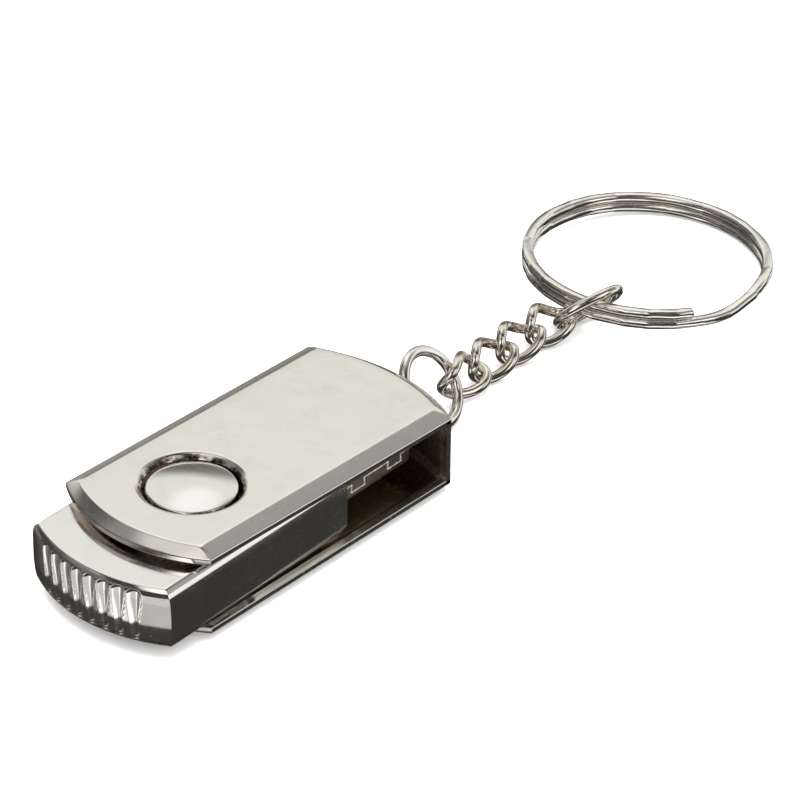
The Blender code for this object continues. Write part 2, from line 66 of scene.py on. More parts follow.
# Swivel cover.
COVER_HALF_WIDTH = 9.0
COVER_FRONT_CORNER_X = -6.96
COVER_FRONT_RISE = 2.93
COVER_REAR_CORNER_X = 24.97
COVER_REAR_RISE = 2.35
SHEET = 0.6
BEVEL_DROP = 0.76
BEVEL_INSET = 1.49
COVER_TOP_AT_REAR = 8.71
COVER_SPLAY = 0.0233
COVER_STEPS = 64
WALL_PROUD = 0.006
HOLE_RADIUS = 4.55
HOLE_MOUTH_RADIUS = 5.07
HOLE_MOUTH_DEPTH = 0.5
LOWER_MOUTH_RADIUS = 4.75
LOWER_MOUTH_DEPTH = 0.2
TAB_OUTER_X = 30.4
TAB_HALF_WIDTH = 2.9
TAB_THICKNESS = 0.7
TAB_Z = 4.25
TAB_SLOT_X = (27.85, 29.7)
TAB_SLOT_HALF_WIDTH = 1.9
TAB_CORNER = 0.9
TAB_EDGE = 0.15

# Drive body.
BODY_HALF_WIDTH = 8.38
BODY_FRONT_CORNER_X = -11.95
BODY_FRONT_RISE = 2.35
BODY_REAR_X = 11.62
BODY_TOP = 7.6
BODY_LAYER = 0.09
TRAY_BOTTOM = 1.45
GROOVES = 8
GROOVE_PITCH = 1.5
GROOVE_DEPTH = 0.3
BUTTON_RADIUS = 4.25
BUTTON_SIDES = 96
BUTTON_TURN_STEPS = 6
BUTTON_DOME_STEPS = 14

# Each button's base, height, rim, crown and way up.
BUTTONS = {
    "top_button": (BODY_TOP, 8.9, 0.3, 0.6, 1),
    "bottom_button": (TRAY_BOTTOM, 0.7, 0.2, 0.58, -1),
}

# USB plug.
PLUG_HALF_WIDTH = 6.0
PLUG_BOTTOM = 2.27
PLUG_TOP = 6.77
PLUG_WALL = 0.32
PLUG_X = (6.5, 23.1)
PLUG_MOUTH_EDGE = 0.08
PLUG_CORNER = 0.75
PLUG_INNER_CORNER = 0.5
WINDOW_X = (15.4, 17.6)
WINDOW_Y = 2.5
WINDOW_HALF_WIDTH = 1.1
WINDOW_CORNER = 0.2
WINDOW_CUT_Z = (1.5, 7.5)
SEAM_HALF_WIDTH = 0.07
SEAM_PROUD = 0.012
SEAM_START_X = 8.0
SEAM_STEPS_X = (9.9, 15.0, 20.1)
SEAM_Z = (3.15, 3.95)
TONGUE_X = (9.6, 22.7)
TONGUE_THICKNESS = 1.84
TONGUE_ROOT_END = 12.6
CONTACT_START_X = 12.7
CONTACT_HALF_WIDTH = 0.5

# Each contact's middle, across the plug, and the end of its strip.
CONTACTS = ((-3.5, 22.1), (-1.0, 21.1), (1.0, 21.1), (3.5, 22.1))

# Rings and chain. A link's ends are turned against each other by twice its twist, in degrees.
LANYARD_CENTRE = Vector((32.552, 0.134, 3.616))
LANYARD_NORMAL = Vector((0.192, -0.781, 0.593))
LANYARD_RADIUS = 3.64
LANYARD_WIRE_RADIUS = 0.53
LINK_WIRE_RADIUS = 0.49
LOOP_POINTS = 160
LINK_SQUARENESS = 2.4
CURB = {"half_length": 2.694, "half_width": 1.787, "twist": -53.3}
LINKS = (
    {
        **CURB,
        "centre": (37.622, 0.549, 2.448),
        "yaw": 4.78,
        "pitch": -13.73,
        "roll": 67.65,
        "half_length": 3.034,
    },
    {**CURB, "centre": (42.096, 1.016, 2.026), "yaw": 2.55, "pitch": -0.37, "roll": 40.71},
    {**CURB, "centre": (46.407, 1.264, 1.919), "yaw": 1.73, "pitch": -1.82, "roll": 31.92},
    {**CURB, "centre": (50.741, 1.128, 1.911), "yaw": -2.03, "pitch": -3.40, "roll": 33.49},
    {
        "centre": (54.913, -0.433, 2.461),
        "yaw": -22.85,
        "pitch": 15.59,
        "roll": -50.88,
        "half_length": 3.381,
        "half_width": 2.242,
        "twist": 0.0,
    },
)
SPLIT_RING_RADIUS = 11.9
SPLIT_RING_WIRE = (0.58, 0.49)
SPLIT_RING_GAP = 0.08
SPLIT_RING_TILT = math.radians(3.7)
SPLIT_RING_CENTRE = Vector((66.3, 1.5, 1.84))
SPLIT_RING_END_ANGLE = math.radians(-87)
SPLIT_RING_TURNS = (0.09, 1.91)
SPLIT_RING_SECTIONS = 620
SPLIT_RING_SIDES = 24
HAMMER_MARKS = 21
HAMMER_DEPTH = 0.12

# What the lights point at, and the camera's lens and placing, from the photo's outlines.
VIEW_TARGET = Vector((23.6, 4.1, 0.4)) * MM
VIEW_LENS = 225
VIEW_MATRIX = Matrix(
    (
        (0.66741705, 0.40658606, -0.62389282, -0.27276),
        (-0.74464011, 0.37348862, -0.55318835, -0.25868),
        (0.00809819, 0.83378296, 0.55203296, 0.26265),
        (0, 0, 0, 1),
    )
)


# ---------------------------------------------------------------- mesh helpers


def in_frame(point, swing=0.0):
    """A point in millimetres from the swivel's axis, turned with the drive if asked, in the frame's metres."""
    turned = Matrix.Rotation(swing, 3, "Z") @ Vector(point)
    return SWIVEL + turned * MM


def piece(name, builder, material, body, replaces=(), smooth_angle=32, swing=0.0):
    """A finished visible piece that rides on its body and takes its finish from a material slot."""
    for vertex in builder.verts:
        vertex.co = in_frame(vertex.co, swing)
    bmesh.ops.recalc_face_normals(builder, faces=builder.faces)
    mesh = bpy.data.meshes.new(name)
    builder.to_mesh(mesh)
    builder.free()
    for each in material if isinstance(material, tuple) else (material,):
        mesh.materials.append(each)
    mesh.shade_smooth()
    mesh.set_sharp_from_angle(angle=math.radians(smooth_angle))
    obj = bpy.data.objects.new(name, mesh)
    bpy.context.scene.collection.objects.link(obj)
    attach(obj, body)
    if replaces:
        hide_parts(*replaces)
    return obj


def add_loft(builder, rings, closed_path=False, capped=True):
    """Skins rings that have the same number of points. A closed path joins the last ring to the first."""
    rows = [[builder.verts.new(point) for point in ring] for ring in rings]
    pairs = list(zip(rows, rows[1:]))
    if closed_path:
        pairs.append((rows[-1], rows[0]))
    for lower, upper in pairs:
        for i, corner in enumerate(lower):
            j = (i + 1) % len(lower)
            builder.faces.new((corner, lower[j], upper[j], upper[i]))
    if capped and not closed_path:
        builder.faces.new(rows[0])
        builder.faces.new(rows[-1])


def rounded(points, radii, steps=5, closed=False):
    """A path of vectors with each corner replaced by a curve that starts this far from the corner."""
    count = len(points)
    path = []
    for i, (point, radius) in enumerate(zip(points, radii)):
        point = Vector(point)
        if radius == 0 or (not closed and i in (0, count - 1)):
            path.append(point)
            continue
        before = Vector(points[i - 1]) - point
        after = Vector(points[(i + 1) % count]) - point
        start = point + before * min(0.48, radius / before.length)
        end = point + after * min(0.48, radius / after.length)
        for k in range(steps + 1):
            t = k / steps
            path.append(start * (1 - t) ** 2 + point * 2 * t * (1 - t) + end * t**2)
    return path


def bow(corner_x, rise, half_width, direction, y):
    """Where an outline's bowed end is at y. The bow rises this far beyond its corners, at the half width."""
    radius = (half_width**2 + rise**2) / (2 * rise)
    return corner_x + direction * (math.sqrt(radius**2 - y**2) - (radius - rise))


def arc(corner_x, rise, half_width, direction, steps, start_y):
    """The bowed end of an outline, from start_y to -start_y, without its last point."""
    heights = [start_y * (1 - 2 * i / steps) for i in range(steps)]
    return [(bow(corner_x, rise, half_width, direction, y), y) for y in heights]


def line(start, end, steps):
    """Points from start towards end, without the last one."""
    return [tuple(a + (b - a) * i / steps for a, b in zip(start, end)) for i in range(steps)]


# ---------------------------------------------------------------- swivel cover


def cover_outline(inset, side_steps=40):
    """A plate's outline in plan, this far in from its rim and less so at its bowed ends."""
    half_width = COVER_HALF_WIDTH - inset
    front_end = (COVER_FRONT_CORNER_X + 0.75 * inset, COVER_FRONT_RISE, COVER_HALF_WIDTH, -1)
    rear_end = (COVER_REAR_CORNER_X - 0.75 * inset, COVER_REAR_RISE, COVER_HALF_WIDTH, 1)
    front = arc(*front_end, COVER_STEPS, half_width)
    rear = arc(*rear_end, COVER_STEPS, -half_width)
    front_x, rear_x = bow(*front_end, half_width), bow(*rear_end, half_width)
    near = line((front_x, -half_width), (rear_x, -half_width), side_steps)
    far = line((rear_x, half_width), (front_x, half_width), side_steps)
    return front + near + rear + far


def plate_rings(top_z, splay, up, mouth_radius, mouth_depth):
    """The closed skin of a dished plate with a round hole: round the rim, across the flat, down the hole.

    Up is 1 for the top plate, whose outside faces up, and -1 for the bottom plate. Splay is how much it
    rises towards the front.
    """

    def lift(x):
        return splay * (COVER_REAR_CORNER_X - x)

    flat = 1.2
    section = [(BEVEL_INSET + flat, 0), (BEVEL_INSET, 0), (0, -BEVEL_DROP), (0, -BEVEL_DROP - SHEET)]
    section += [(BEVEL_INSET, -SHEET), (BEVEL_INSET + flat, -SHEET)]
    outline_path = rounded(section, (0, 0.22, 0.13, 0.13, 0.3, 0))
    brim = 0.35
    hole_section = [(HOLE_RADIUS + brim, -SHEET), (HOLE_RADIUS, -SHEET), (HOLE_RADIUS, -mouth_depth)]
    hole_section += [(mouth_radius, 0), (mouth_radius + brim, 0)]
    hole_path = rounded(hole_section, (0, 0.12, 0.2, 0.25, 0), steps=6)
    rings = []
    for inset, depth in outline_path:
        rings.append([(x, y, top_z + up * depth + lift(x)) for x, y in cover_outline(inset)])
    directions = [math.atan2(y, x) for x, y in cover_outline(BEVEL_INSET)]
    for radius, depth in hole_path:
        ring = []
        for angle in directions:
            x, y = radius * math.cos(angle), radius * math.sin(angle)
            ring.append((x, y, top_z + up * depth + lift(x)))
        rings.append(ring)
    return rings


def wall_section(z, inset):
    """The end wall in plan at one height: its outer arc, then its inner arc back."""
    corner_x = COVER_REAR_CORNER_X + WALL_PROUD - inset
    outer = arc(corner_x, COVER_REAR_RISE, COVER_HALF_WIDTH, 1, COVER_STEPS, -COVER_HALF_WIDTH + inset)
    outer.append((corner_x, COVER_HALF_WIDTH - inset))
    inner = [(x - SHEET + 2 * inset, y) for x, y in reversed(outer)]
    return [(x, y, z) for x, y in outer + inner]


def make_cover(materials):
    """The top and bottom plates, the end wall and the lug. The second material, a darker brown copy of the metal
    that paints in shade, is for the inside.
    """
    builder = bmesh.new()
    top = plate_rings(COVER_TOP_AT_REAR, COVER_SPLAY, 1, HOLE_MOUTH_RADIUS, HOLE_MOUTH_DEPTH)
    add_loft(builder, top, closed_path=True)
    bottom = plate_rings(0.0, 0.0, -1, LOWER_MOUTH_RADIUS, LOWER_MOUTH_DEPTH)
    add_loft(builder, bottom, closed_path=True)
    low, high = BEVEL_DROP + 0.12, COVER_TOP_AT_REAR - BEVEL_DROP - 0.12
    levels = [low + (high - low) * i / 12 for i in range(13)]
    add_loft(builder, [wall_section(z, 0.0) for z in levels])
    add_tab(builder)
    bmesh.ops.recalc_face_normals(builder, faces=builder.faces)
    # Faces on the inside take the second material, a darker copy of the metal painted as shade.
    for face in builder.faces:
        face.material_index = int(faces_inward(face))
    return piece("cover_sheet", builder, materials, "cover", ("swivel_cover",))


def faces_inward(face):
    """True for the cover's inside, which takes the painted shade, short of the bevels along its open sides."""
    place, normal = face.calc_center_median(), face.normal
    if abs(place.y) > COVER_HALF_WIDTH - BEVEL_INSET:
        return False
    under_top = place.z > 5 and normal.z < -0.5
    over_bottom = place.z < 2 and normal.z > 0.5
    on_wall = COVER_REAR_CORNER_X - 1 < place.x < TAB_SLOT_X[0] - 1 and normal.x < -0.5
    return under_top or over_bottom or on_wall


def add_tab(builder):
    """The lug: a slotted strip with rounded edges, as a closed ring of sections round the slot."""
    root_x = COVER_REAR_CORNER_X + COVER_REAR_RISE - 0.35
    outside = [(root_x, -TAB_HALF_WIDTH), (TAB_OUTER_X, -TAB_HALF_WIDTH)]
    outside += [(TAB_OUTER_X, TAB_HALF_WIDTH), (root_x, TAB_HALF_WIDTH)]
    slot_low, slot_high = TAB_SLOT_X
    inside = [(slot_low, -TAB_SLOT_HALF_WIDTH), (slot_high, -TAB_SLOT_HALF_WIDTH)]
    inside += [(slot_high, TAB_SLOT_HALF_WIDTH), (slot_low, TAB_SLOT_HALF_WIDTH)]
    outer = rounded(outside, (0.05, TAB_CORNER, TAB_CORNER, 0.05), steps=8, closed=True)
    inner = rounded(inside, (0.5, 0.5, 0.5, 0.5), steps=8, closed=True)
    half, edge = TAB_THICKNESS / 2, TAB_EDGE
    section = ((0, edge - half), (0, half - edge), (edge, half), (1, half), (1, -half), (edge, -half))
    rings = []
    for share, height in section:
        ring = []
        for far, near in zip(outer, inner):
            point = far.lerp(near, share)
            ring.append((point.x, point.y, TAB_Z + height))
        rings.append(ring)
    add_loft(builder, rings, closed_path=True)


# ---------------------------------------------------------------- drive body


def body_outline(side_inset, front_inset, rear_inset, z):
    """The body's outline at one height, in from its widest by these amounts."""
    half_width = BODY_HALF_WIDTH - side_inset
    front_end = (BODY_FRONT_CORNER_X + front_inset, BODY_FRONT_RISE, BODY_HALF_WIDTH, -1)
    front = arc(*front_end, 168, half_width)
    front_x, rear_x = bow(*front_end, half_width), BODY_REAR_X - rear_inset
    near = line((front_x, -half_width), (rear_x, -half_width), 24)
    rear = line((rear_x, -half_width), (rear_x, half_width), 16)
    far = line((rear_x, half_width), (front_x, half_width), 24)
    return [(x, y, z) for x, y in front + near + rear + far]


def smooth(value, low, high):
    """0 below low and 1 above high, with an S between them."""
    share = min(max((value - low) / (high - low), 0), 1)
    return share * share * (3 - 2 * share)


def fluted(ring):
    """The outline with the grip's flutes pressed into its bowed front, as narrow drops with round tops.

    Below the drops the flutes run on to the bottom edge as shallower waves.
    """
    pressed = []
    for x, y, z in ring:
        nearest = round(y / GROOVE_PITCH - 0.5) + 0.5
        offset = abs(y - nearest * GROOVE_PITCH)
        if x < BODY_FRONT_CORNER_X + 0.5 and abs(nearest) < GROOVES / 2:
            half_width = 0.4 + 0.3 * smooth(z, 3.2, 6.2)
            across = max(0.0, 1 - (offset / half_width) ** 2)
            fade = 1 - smooth(z, 6.35 + 0.5 * math.sqrt(across), 6.75 + 0.5 * math.sqrt(across))
            x += GROOVE_DEPTH * across * fade
        pressed.append((x, y, z))
    return pressed


def shell_rings(section, radii, steps=5):
    """Rings round a shell from its section, given as side, front and rear inset and height."""
    return [body_outline(*values) for values in blended(section, radii, steps)]


def blended(points, radii, steps):
    """Like rounded, for sections of any number of values."""
    path = []
    for i, (point, radius) in enumerate(zip(points, radii)):
        if radius == 0:
            path.append(tuple(point))
            continue
        before, after = points[i - 1], points[i + 1]
        reach_back = min(0.48, radius / max(abs(before[3] - point[3]), abs(before[0] - point[0])))
        reach_on = min(0.48, radius / max(abs(after[3] - point[3]), abs(after[0] - point[0])))
        start = [p + (b - p) * reach_back for p, b in zip(point, before)]
        end = [p + (a - p) * reach_on for p, a in zip(point, after)]
        for k in range(steps + 1):
            t = k / steps
            triples = zip(start, point, end)
            path.append(tuple(s * (1 - t) ** 2 + p * 2 * t * (1 - t) + e * t**2 for s, p, e in triples))
    return path


def make_body(chrome, tray_chrome):
    """The grip's deep shell, in layers thin enough to carry the flutes, and the tray below it."""
    section = [(0.25, 0.35, 1.15, 1.86), (0.03, 0.17, 0.9, 1.95), (0.01, 0.12, 0.0, 2.4)]
    section += [(0.0, 0.0, 0.0, 3.5), (0.0, 0.0, 0.0, 5.0), (0.04, 0.0, 0.0, 6.2)]
    section += [(0.14, 0.03, 0.02, 6.85), (0.3, 0.14, 0.08, 7.22), (0.68, 0.44, 0.35, 7.59)]
    section += [(1.0, 0.9, 0.8, BODY_TOP), (3.0, 3.0, 3.0, BODY_TOP)]
    rings = shell_rings(section, (0, 0.04, 0.15, 0.25, 0.4, 0.25, 0.12, 0.1, 0.1, 0, 0))
    layers = []
    for lower, higher in zip(rings, rings[1:]):
        layers.append(lower)
        extra = int((higher[0][2] - lower[0][2]) / BODY_LAYER)
        for k in range(1, extra + 1):
            share = k / (extra + 1)
            layers.append([tuple(a + (b - a) * share for a, b in zip(p, q)) for p, q in zip(lower, higher)])
    layers.append(rings[-1])
    shell = bmesh.new()
    add_loft(shell, [fluted(ring) for ring in layers])
    replaced = ("upper_shell",)
    piece("grip_shell", shell, chrome, "drive", replaced, swing=BODY_SWING, smooth_angle=38)

    tray = bmesh.new()
    section = [(1.3, 1.3, 3.2, TRAY_BOTTOM), (0.55, 0.55, 2.4, TRAY_BOTTOM)]
    section += [(0.12, 0.22, 1.4, 1.62), (0.05, 0.2, 1.05, 1.81)]
    add_loft(tray, shell_rings(section, (0, 0.12, 0.08, 0)))
    piece("grip_tray", tray, tray_chrome, "drive", ("lower_shell",), swing=BODY_SWING)


def make_buttons(material):
    """The two caps of the swivel's rivet, turned about its axis: an upright edge, a rolled rim and a dome."""
    angles = [2 * math.pi * k / BUTTON_SIDES for k in range(BUTTON_SIDES)]
    for name, (base, height, rim, crown, up) in BUTTONS.items():
        path = [(BUTTON_RADIUS, base), (BUTTON_RADIUS, height - up * rim)]
        for k in range(1, BUTTON_TURN_STEPS + 1):
            turn = math.pi / 2 * k / BUTTON_TURN_STEPS * 0.86
            inward, down = rim * (1 - math.cos(turn)), rim * (1 - math.sin(turn))
            path.append((BUTTON_RADIUS - inward, height - up * down))
        rim_radius, rim_z = path[-1]
        for k in range(1, BUTTON_DOME_STEPS):
            share = k / BUTTON_DOME_STEPS
            path.append((rim_radius * (1 - share), rim_z + up * crown * (1 - (1 - share) ** 2)))
        builder = bmesh.new()
        add_loft(builder, [[(r * math.cos(a), r * math.sin(a), z) for a in angles] for r, z in path])
        replaced = "pivot_" + ("button_top" if up > 0 else "button_bottom")
        piece(name, builder, material, "drive", (replaced,), smooth_angle=40)


# ---------------------------------------------------------------- plug


def bar_outline(half_width, bottom, top, radius, steps=6):
    """A rounded rectangle in Y and Z."""
    corners = [(-half_width, bottom), (half_width, bottom), (half_width, top), (-half_width, top)]
    outline = []
    for point in rounded([Vector((y, z)) for y, z in corners], (radius,) * 4, steps, closed=True):
        outline.append((point.x, point.y))
    return outline


def make_plug(steel, seam, plastic, gold):
    """The sheet shell and its seam, the tongue and the contacts. The second steel, for the underside, is a lighter
    golden copy that paints in a bright golden reflection.
    """
    shell = make_sleeve(steel)
    cut_windows(shell, steel[0])
    builder = bmesh.new()
    add_seam(builder)
    piece("plug_seam", builder, seam, "drive", swing=BODY_SWING)

    half = PLUG_HALF_WIDTH - PLUG_WALL - 0.1
    low = PLUG_BOTTOM + PLUG_WALL + 0.05
    top = low + TONGUE_THICKNESS
    start, end = TONGUE_X
    builder = bmesh.new()
    add_block(builder, (start, -half, low), (end, half, top), 0.18)
    add_block(builder, (start, -half, top - 0.4), (TONGUE_ROOT_END, half, PLUG_TOP - PLUG_WALL - 0.05), 0.1)
    piece("tongue", builder, plastic, "drive", ("plug_tongue",), swing=BODY_SWING)
    for number, (y, end_x) in enumerate(CONTACTS, start=1):
        builder = bmesh.new()
        near, far = y - CONTACT_HALF_WIDTH, y + CONTACT_HALF_WIDTH
        add_block(builder, (CONTACT_START_X, near, top - 0.03), (end_x, far, top + 0.22), 0.09)
        replaced = (f"plug_contact_{number}",)
        piece(f"contact_{number}", builder, gold, "drive", replaced, swing=BODY_SWING)


def make_sleeve(steel):
    """A tube of sheet with a rounded edge at its mouth."""
    start, end = PLUG_X
    edge = PLUG_MOUTH_EDGE
    stations = [(start, 0, 0), (end - edge, 0, 0), (end - edge * 0.3, edge * 0.3, 0), (end, edge, edge)]
    rings = []
    for x, inset, _ in stations:
        half = PLUG_HALF_WIDTH - inset
        outline = bar_outline(half, PLUG_BOTTOM + inset, PLUG_TOP - inset, PLUG_CORNER)
        rings.append([(x, y, z) for y, z in outline])
    for x, _, outset in reversed(stations):
        half = PLUG_HALF_WIDTH - PLUG_WALL + outset
        low, high = PLUG_BOTTOM + PLUG_WALL - outset, PLUG_TOP - PLUG_WALL + outset
        rings.append([(x, y, z) for y, z in bar_outline(half, low, high, PLUG_INNER_CORNER)])
    builder = bmesh.new()
    add_loft(builder, rings, closed_path=True)
    bmesh.ops.recalc_face_normals(builder, faces=builder.faces)
    # The underside takes the second material, a lighter golden copy of the steel painted in for the bright golden
    # reflection in the cover's bottom plate.
    for face in builder.faces:
        underneath = face.calc_center_median().z < PLUG_BOTTOM + 0.05 and face.normal.z < -0.8
        face.material_index = int(underneath)
    return piece("plug_sleeve", builder, steel, "drive", ("plug_shell",), swing=BODY_SWING)


def cut_windows(shell, steel):
    """The latch windows, cut by a hidden helper that turns with the shell, and their broken edges."""
    cutter = bmesh.new()
    start, end = WINDOW_X
    for middle in (-WINDOW_Y, WINDOW_Y):
        near, far = middle - WINDOW_HALF_WIDTH, middle + WINDOW_HALF_WIDTH
        corners = [(start, near), (end, near), (end, far), (start, far)]
        outline = rounded(corners, (WINDOW_CORNER,) * 4, steps=3, closed=True)
        add_loft(cutter, [[(p.x, p.y, z) for p in outline] for z in WINDOW_CUT_Z])
    helper = piece("plug_window_cutter", cutter, steel, "drive", swing=BODY_SWING)
    helper.hide_render = True
    helper.hide_viewport = True
    helper.hide_set(True)
    boolean = shell.modifiers.new("windows", "BOOLEAN")
    boolean.operation = "DIFFERENCE"
    boolean.solver = "EXACT"
    boolean.object = helper
    bevel = shell.modifiers.new("window edges", "BEVEL")
    bevel.width = 0.05 * MM
    bevel.segments = 2
    bevel.limit_method = "ANGLE"
    bevel.angle_limit = math.radians(50)


def add_seam(builder):
    """The joint with dovetails where the plug's sheet meets on its near side, as a thin strip."""
    low, high = SEAM_Z
    path = [(SEAM_START_X, high)]
    for x in SEAM_STEPS_X:
        path += [(x, high), (x - 0.1, low), (x + 1.8, low), (x + 1.7, high)]
    path.append((PLUG_X[1] - 0.1, high))
    path = [Vector(point) for point in path]
    sections = []
    for i, point in enumerate(path):
        before = (point - path[i - 1]).normalized() if i else Vector((1, 0))
        after = (path[i + 1] - point).normalized() if i + 1 < len(path) else Vector((1, 0))
        along = (before + after).normalized()
        across = Vector((-along.y, along.x))
        reach = SEAM_HALF_WIDTH / across.dot(Vector((-before.y, before.x)))
        upper, lower = point + across * reach, point - across * reach
        outside, inside = -PLUG_HALF_WIDTH - SEAM_PROUD, -PLUG_HALF_WIDTH + 0.1
        sections.append([(upper.x, outside, upper.y), (upper.x, inside, upper.y)])
        sections[-1] += [(lower.x, inside, lower.y), (lower.x, outside, lower.y)]
    add_loft(builder, sections)


def add_block(builder, low, high, bevel):
    """A box between two corners, with rounded edges."""
    made = bmesh.ops.create_cube(builder, size=1.0)
    centre = [(a + b) / 2 for a, b in zip(low, high)]
    size = [b - a for a, b in zip(low, high)]
    for vertex in made["verts"]:
        vertex.co = Vector([c + s * v for c, s, v in zip(centre, size, vertex.co)])
    edges = {edge for vertex in made["verts"] for edge in vertex.link_edges}
    bmesh.ops.bevel(builder, geom=list(edges), offset=bevel, segments=3, affect="EDGES", profile=0.5)


# ---------------------------------------------------------------- rings and chain


def round_wire(builder, path, radius, centre, sides=24):
    """A closed loop of wire along the path."""
    count = len(path)
    rings = []
    for i, point in enumerate(path):
        along = (path[(i + 1) % count] - path[i - 1]).normalized()
        outward = point - centre
        outward = (outward - along * outward.dot(along)).normalized()
        across = along.cross(outward)
        angles = [2 * math.pi * k / sides for k in range(sides)]
        rings.append([point + (outward * math.cos(a) + across * math.sin(a)) * radius for a in angles])
    add_loft(builder, rings, closed_path=True)


def link_path(centre, yaw, pitch, roll, half_length, half_width, twist):
    """The centre line of an oval link. Its ends are turned against each other by twice the twist."""
    yaw, pitch, roll, twist = (math.radians(angle) for angle in (yaw, pitch, roll, twist))
    along = Vector((math.cos(yaw) * math.cos(pitch), math.sin(yaw) * math.cos(pitch), math.sin(pitch)))
    level = Vector((0, 0, 1)).cross(along).normalized()
    up = along.cross(level)
    side = level * math.cos(roll) + up * math.sin(roll)
    normal = along.cross(side)
    path = []
    power = 2 / LINK_SQUARENESS
    for i in range(LOOP_POINTS):
        angle = 2 * math.pi * i / LOOP_POINTS
        c, s = math.cos(angle), math.sin(angle)
        lengthwise = half_length * math.copysign(abs(c) ** power, c)
        widthwise = half_width * math.copysign(abs(s) ** power, s)
        turn = twist * lengthwise / half_length
        spoke = side * math.cos(turn) + normal * math.sin(turn)
        path.append(Vector(centre) + along * lengthwise + spoke * widthwise)
    return path


def make_lanyard_ring(material):
    normal = LANYARD_NORMAL.normalized()
    first = (Vector((1, 0, 0)) - normal * normal.x).normalized()
    second = normal.cross(first)
    path = []
    for i in range(LOOP_POINTS):
        angle = 2 * math.pi * i / LOOP_POINTS
        spoke = first * math.cos(angle) + second * math.sin(angle)
        path.append(LANYARD_CENTRE + spoke * LANYARD_RADIUS)
    builder = bmesh.new()
    round_wire(builder, path, LANYARD_WIRE_RADIUS, LANYARD_CENTRE)
    piece("jump_ring", builder, material, "lanyard_ring", ("lanyard_ring",))


def make_links(material):
    for number, link in enumerate(LINKS, start=1):
        builder = bmesh.new()
        round_wire(builder, link_path(**link), LINK_WIRE_RADIUS, Vector(link["centre"]))
        name = f"chain_link_{number}"
        piece(f"curb_link_{number}", builder, material, name, (name,))


def hammered(turn, angle):
    """How far a hammer mark pushes the wire inward, and how it leans the wire's section there."""
    phase = (turn * HAMMER_MARKS + 0.37 * math.sin(5 * angle)) % 1
    strength = 0.7 + 0.3 * math.sin(3.1 * turn * HAMMER_MARKS // 1)
    return HAMMER_DEPTH * strength * (4 * phase * (1 - phase)), math.radians(40) * strength * (phase - 0.5)


def make_split_ring(material):
    """Two turns of wire. Beside the ends, the wire steps from the lower turn to the upper one."""
    tilt = Matrix.Rotation(SPLIT_RING_TILT, 3, "Y")
    half_radial, half_height = SPLIT_RING_WIRE
    step = half_height + SPLIT_RING_GAP / 2
    first_turn, last_turn = SPLIT_RING_TURNS
    rings = []
    for i in range(SPLIT_RING_SECTIONS + 1):
        turn = first_turn + (last_turn - first_turn) * i / SPLIT_RING_SECTIONS
        blend = min(max((turn - 0.94) / 0.12, 0), 1)
        height = step * (2 * blend * blend * (3 - 2 * blend) - 1)
        angle = SPLIT_RING_END_ANGLE + 2 * math.pi * turn
        outward = Vector((math.cos(angle), math.sin(angle), 0))
        dent, lean = hammered(turn, angle)
        from_end = min(i, SPLIT_RING_SECTIONS - i)
        taper = 1 if from_end > 3 else 0.86 + 0.14 * math.sqrt(1 - (1 - from_end / 4) ** 2)
        points = []
        for k in range(SPLIT_RING_SIDES):
            around = 2 * math.pi * k / SPLIT_RING_SIDES
            c, s = math.cos(around), math.sin(around)
            radial = half_radial * math.copysign(abs(c) ** 0.72, c) * taper
            upward = half_height * math.copysign(abs(s) ** 0.72, s) * taper
            radial, upward = (
                radial * math.cos(lean) - 0.35 * upward * math.sin(lean),
                upward * math.cos(lean) + 0.35 * radial * math.sin(lean),
            )
            if radial > 0:
                radial -= dent
            point = outward * (SPLIT_RING_RADIUS + radial) + Vector((0, 0, height + upward))
            points.append(SPLIT_RING_CENTRE + tilt @ point)
        rings.append(points)
    builder = bmesh.new()
    add_loft(builder, rings)
    replaced = ("split_ring",)
    piece("key_ring_coil", builder, material, "split_ring", replaced, smooth_angle=45)


# ---------------------------------------------------------------- materials


